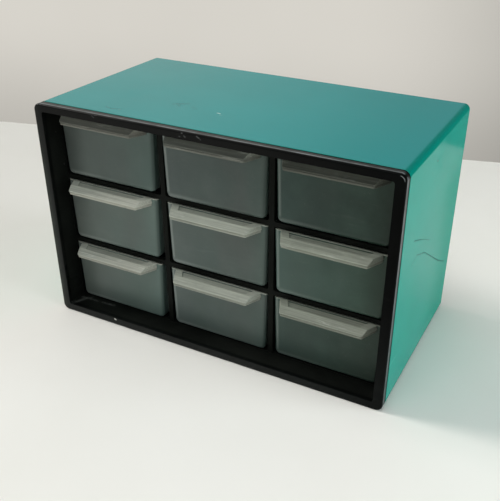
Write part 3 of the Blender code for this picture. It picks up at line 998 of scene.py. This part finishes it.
def wall_material():
    """Pale wall glowing with painted light, which falls off to the right and upwards."""
    net = Net("stage_wall_paint")
    x, y, z = net.axes
    glow = x.fall(over=(-0.20, 0.35), to=(1.0, 0.12))
    upper = x.fall(over=(-0.46, -0.08), to=(0.84, 0.40))
    high = z.rise(over=(0.08, 0.25))
    glow = glow * (high * upper + (1.0 - high))
    glow = glow * z.rise(over=(-0.20, 0.0), to=(0.72, 1.0)) * WALL_GLOW
    cloud = net.noise(scale=3.0)
    color = net.mix(cloud.rise(over=(0.3, 0.7)), linear(206, 202, 194), linear(210, 206, 198))
    return net.done(net.surface({
        "Base Color": (*linear(90, 88, 84), 1.0), "Roughness": 0.9,
        "Specular IOR Level": 0.0, "Emission Color": color, "Emission Strength": glow,
    }))


def turned(side, away, z):
    """A point given along the table's back edge and away from the object."""
    return (
        side * math.cos(TURN) - away * math.sin(TURN),
        side * math.sin(TURN) + away * math.cos(TURN), z,
    )


def table_top():
    """A slab whose upper back edge is rounded."""
    profile = [(TABLE_NEAR, 0.0), (TABLE_EDGE - TABLE_RADIUS, 0.0)]
    for i in range(1, TABLE_STEPS + 1):
        angle = math.pi / 2 * i / TABLE_STEPS
        profile.append((
            TABLE_EDGE - TABLE_RADIUS + TABLE_RADIUS * math.sin(angle),
            -TABLE_RADIUS + TABLE_RADIUS * math.cos(angle),
        ))
    profile += [(TABLE_EDGE, -TABLE_THICK), (TABLE_NEAR, -TABLE_THICK)]
    shape = bmesh.new()
    rows = [
        [shape.verts.new(turned(side, away, z)) for away, z in profile]
        for side in (-TABLE_HALF, TABLE_HALF)
    ]
    for i in range(len(profile)):
        j = (i + 1) % len(profile)
        shape.faces.new((rows[0][i], rows[1][i], rows[1][j], rows[0][j]))
    for row in rows:
        shape.faces.new(row)
    obj = to_object(shape, "stage_table")
    obj.data.shade_smooth()
    obj.data.set_sharp_from_angle(angle=math.radians(50))
    return obj


def wall_plane():
    shape = bmesh.new()
    corners = [
        (-WALL_HALF, WALL_LOW), (WALL_HALF, WALL_LOW),
        (WALL_HALF, WALL_HIGH), (-WALL_HALF, WALL_HIGH),
    ]
    shape.faces.new([shape.verts.new(turned(side, WALL_AT, z)) for side, z in corners])
    return to_object(shape, "stage_wall")


table = dress(table_top(), table_material())
wall = dress(wall_plane(), wall_material())

# ================================================================= LIGHTS ====


def add_light(name, kind, direction, power, rgb):
    light = bpy.data.lights.new(name, kind)
    light.energy = power
    light.color = rgb
    obj = bpy.data.objects.new(name, light)
    scene.collection.objects.link(obj)
    obj.rotation_euler = Vector(direction).to_track_quat("-Z", "Y").to_euler()
    return obj


def area(name, at, toward, size, power, rgb):
    obj = add_light(name, "AREA", Vector(toward) - Vector(at), power, rgb)
    obj.data.shape = "RECTANGLE"
    obj.data.size = size
    obj.data.size_y = size
    obj.location = at
    return obj


key = add_light("key_window", "SUN", (1.00, 0.09, -0.69), power=2.24, rgb=(1.0, 0.955, 0.92))
key.data.angle = math.radians(20)
area(
    "top_front", at=(0.05, -0.46, 1.36), toward=(0, 0, 0.03), size=0.8, power=5.6,
    rgb=(0.94, 1.0, 0.995),
)
low_front = area(
    "low_front", at=(-0.15, -1.45, 0.42), toward=(0, 0, 0.05), size=1.1, power=3.4,
    rgb=(0.95, 1.0, 0.99),
)
right_fill = area(
    "right_fill", at=(1.10, 0.05, 0.40), toward=(0.05, 0, 0.05), size=0.8, power=9.8,
    rgb=(0.86, 0.98, 1.0),
)
for fill in (low_front, right_fill):
    fill.visible_glossy = False  # soft fills only, never mirrored in the gloss


def build_world():
    """A dim cool sky; seen directly, or partly when mirrored, it is pale grey."""
    world = bpy.data.worlds.new("studio")
    scene.world = world
    world.use_nodes = True
    nodes = world.node_tree.nodes
    link = world.node_tree.links.new
    sky = nodes["Background"]
    sky.inputs["Color"].default_value = (0.88, 0.97, 1.0, 1.0)
    sky.inputs["Strength"].default_value = 0.16
    pale_sky = nodes.new("ShaderNodeBackground")
    pale_sky.inputs["Color"].default_value = (*linear(204, 203, 198), 1.0)
    path = nodes.new("ShaderNodeLightPath")
    seen = nodes.new("ShaderNodeMath")
    seen.operation = "MULTIPLY_ADD"
    seen.use_clamp = True
    link(path.outputs["Is Glossy Ray"], seen.inputs[0])
    seen.inputs[1].default_value = 0.45  # share of the pale sky in reflections
    link(path.outputs["Is Camera Ray"], seen.inputs[2])
    either = nodes.new("ShaderNodeMixShader")
    link(seen.outputs[0], either.inputs[0])
    link(sky.outputs[0], either.inputs[1])
    link(pale_sky.outputs[0], either.inputs[2])
    link(either.outputs[0], nodes["World Output"].inputs["Surface"])


build_world()

# ================================================================= CAMERA ====
CAMERA_AT = (0.14705, -0.27516, 0.20513)
AZIMUTH, DOWNWARD, ROLL = math.radians(26.907), math.radians(29.55), math.radians(0.546)


def build_camera():
    forward = Vector((
        -math.sin(AZIMUTH) * math.cos(DOWNWARD),
        math.cos(AZIMUTH) * math.cos(DOWNWARD),
        -math.sin(DOWNWARD),
    ))
    level = Vector((math.cos(AZIMUTH), math.sin(AZIMUTH), 0.0))
    upright = level.cross(forward)
    right = level * math.cos(ROLL) + upright * math.sin(ROLL)
    up = -level * math.sin(ROLL) + upright * math.cos(ROLL)
    lens = bpy.data.cameras.new("camera")
    lens.sensor_width = 36.0
    lens.sensor_fit = "AUTO"
    lens.lens = 52.06
    lens.shift_x = -0.0350
    lens.shift_y = 0.0154
    lens.clip_start = 0.01
    lens.clip_end = 20.0
    camera = bpy.data.objects.new("camera", lens)
    scene.collection.objects.link(camera)
    camera.matrix_world = Matrix((*zip(right, up, -forward, CAMERA_AT), (0, 0, 0, 1)))
    scene.camera = camera


build_camera()
scene.view_settings.view_transform = "Standard"
scene.view_settings.look = "None"
scene.view_settings.exposure = 0.0
scene.view_settings.gamma = 1.0
